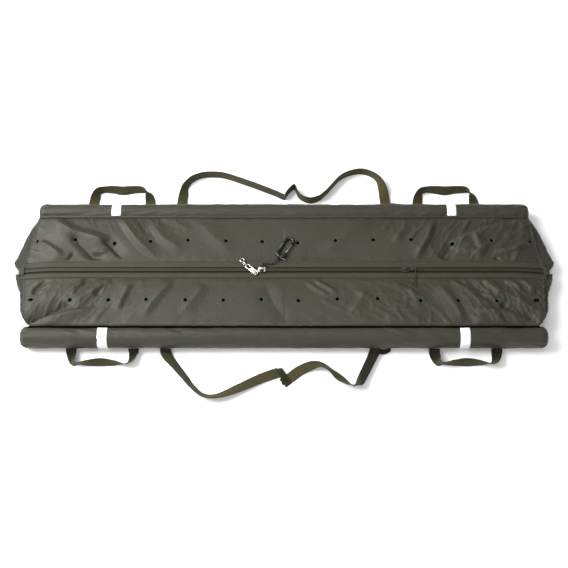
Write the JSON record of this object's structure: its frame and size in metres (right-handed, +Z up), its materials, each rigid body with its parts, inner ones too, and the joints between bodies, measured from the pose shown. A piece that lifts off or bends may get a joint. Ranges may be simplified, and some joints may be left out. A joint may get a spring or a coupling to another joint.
{
  "type": "weigh sling",
  "caption": "Long soft fish-weighing sling: zipped cloth bag between two foam float tubes, with carry handles, weigh straps, mesh ends, zip sliders and a cord clip.",
  "frame": {"origin": "middle of the folded bag's flat underside, on the ground", "axes": "+X along the floats to the right, +Y to the far float, +Z up"},
  "size_m": [1.2902, 0.6285, 0.0535],
  "materials": {
    "coated_cloth": "coated nylon, folded and creased",
    "belly_cloth": "coated nylon and mesh, folded flat",
    "end_mesh": "open knitted mesh",
    "binding": "folded edge tape",
    "foam": "closed-cell foam rod",
    "reflective": "retroreflective tape",
    "zip_tape": "woven zip tape",
    "zip_coil": "nylon coil teeth",
    "webbing": "woven flat webbing",
    "nickel": "bright nickel plate",
    "dark_metal": "dark painted metal",
    "black_plastic": "moulded black plastic",
    "black_cord": "braided cord"
  },
  "bodies": {
    "sling": {"cover_far": "coated_cloth", "cover_near": "coated_cloth", "bag_belly": "belly_cloth", "mesh_end_left_far": "end_mesh", "mesh_end_left_near": "end_mesh", "mesh_end_right_far": "end_mesh", "mesh_end_right_near": "end_mesh", "end_binding_left_far": "binding", "end_binding_left_near": "binding", "end_binding_right_far": "binding", "end_binding_right_near": "binding", "zip_tape_far": "zip_tape", "zip_tape_near": "zip_tape", "zip_coil": "zip_coil", "zip_end_tab_left": "zip_tape", "zip_end_tab_right": "zip_tape"},
    "float_far": {"float_sleeve_far": "coated_cloth", "float_foam_far": "foam", "float_end_far_left": "coated_cloth", "float_end_far_right": "coated_cloth", "reflective_band_far_left": "reflective", "reflective_band_far_right": "reflective"},
    "handle_far_left": {"handle_far_left": "webbing"},
    "handle_far_right": {"handle_far_right": "webbing"},
    "strap_far": {"weigh_strap_far_left": "webbing", "weigh_loop_far": "webbing", "weigh_strap_far_right": "webbing"},
    "float_near": {"float_sleeve_near": "coated_cloth", "float_foam_near": "foam", "float_end_near_left": "coated_cloth", "float_end_near_right": "coated_cloth", "reflective_band_near_left": "reflective", "reflective_band_near_right": "reflective"},
    "handle_near_left": {"handle_near_left": "webbing"},
    "handle_near_right": {"handle_near_right": "webbing"},
    "strap_near": {"weigh_strap_near_left": "webbing", "weigh_loop_near": "webbing", "weigh_strap_near_right": "webbing"},
    "slider_one": {"zip_slider_one": "nickel", "zip_cord": "black_cord"},
    "slider_two": {"zip_slider_two": "dark_metal"},
    "pull": {"slider_pull": "dark_metal", "pull_cord": "black_cord"},
    "hook": {"lock_hook": "nickel"},
    "hook_bolt": {"lock_hook_bolt": "nickel"},
    "hook_ring": {"lock_hook_ring": "nickel"},
    "clip": {"cord_clip": "black_plastic", "clip_swivel": "black_plastic"},
    "clip_gate": {"cord_clip_gate": "black_plastic"}
  },
  "joints": [
    {"name": "fold_far", "type": "hinge", "parent": "sling", "child": "float_far", "pos_m": [0, 0.15082, 0.04348], "axis": [1, 0, 0], "range_deg": [0, 90]},
    {"name": "lift_handle_far_left", "type": "hinge", "parent": "float_far", "child": "handle_far_left", "pos_m": [-0.405, 0.1911, 0.01275], "axis": [1, 0, 0], "range_deg": [0, 75]},
    {"name": "lift_handle_far_right", "type": "hinge", "parent": "float_far", "child": "handle_far_right", "pos_m": [0.405, 0.1911, 0.01275], "axis": [1, 0, 0], "range_deg": [0, 75]},
    {"name": "lift_strap_far", "type": "hinge", "parent": "float_far", "child": "strap_far", "pos_m": [0, 0.1911, 0.01275], "axis": [1, 0, 0], "range_deg": [0, 60]},
    {"name": "fold_near", "type": "hinge", "parent": "sling", "child": "float_near", "pos_m": [0, -0.15082, 0.04348], "axis": [-1, 0, 0], "range_deg": [0, 90]},
    {"name": "lift_handle_near_left", "type": "hinge", "parent": "float_near", "child": "handle_near_left", "pos_m": [-0.417, -0.1911, 0.01275], "axis": [-1, 0, 0], "range_deg": [0, 60]},
    {"name": "lift_handle_near_right", "type": "hinge", "parent": "float_near", "child": "handle_near_right", "pos_m": [0.417, -0.1911, 0.01275], "axis": [-1, 0, 0], "range_deg": [0, 60]},
    {"name": "lift_strap_near", "type": "hinge", "parent": "float_near", "child": "strap_near", "pos_m": [0, -0.1911, 0.01275], "axis": [-1, 0, 0], "range_deg": [0, 75]},
    {"name": "slide_one", "type": "slide", "parent": "sling", "child": "slider_one", "axis": [1, 0, 0], "range_m": [-0.49, 0.15]},
    {"name": "slide_two", "type": "slide", "parent": "sling", "child": "slider_two", "axis": [1, 0, 0], "range_m": [-0.09, 0.25]},
    {"name": "swing_pull", "type": "hinge", "parent": "slider_two", "child": "pull", "pos_m": [0.2909, 0, 0.04908], "axis": [0, -1, 0], "range_deg": [0, 120]},
    {"name": "turn_hook", "type": "hinge", "parent": "slider_one", "child": "hook", "pos_m": [-0.0672, -0.01, 0.04788], "axis": [0, 0, 1], "range_deg": [-20, 20]},
    {"name": "draw_bolt", "type": "slide", "parent": "hook", "child": "hook_bolt", "axis": [-0.7355, 0.6775, 0], "range_m": [0, 0.003], "stiffness_N_per_m": 150},
    {"name": "turn_ring", "type": "hinge", "parent": "hook", "child": "hook_ring", "pos_m": [-0.09444, 0.01509, 0.04788], "axis": [0.7355, -0.6775, 0], "range_deg": [-15, 15]},
    {"name": "turn_clip", "type": "hinge", "parent": "slider_one", "child": "clip", "pos_m": [-0.01496, 0.02875, 0.05048], "axis": [0, 0, 1], "range_deg": [-25, 25]},
    {"name": "press_gate", "type": "hinge", "parent": "clip", "child": "clip_gate", "pos_m": [0.00633, 0.04563, 0.05048], "axis": [0, 0, 1], "range_deg": [0, 20], "stiffness_Nm_per_rad": 0.05}
  ]
}
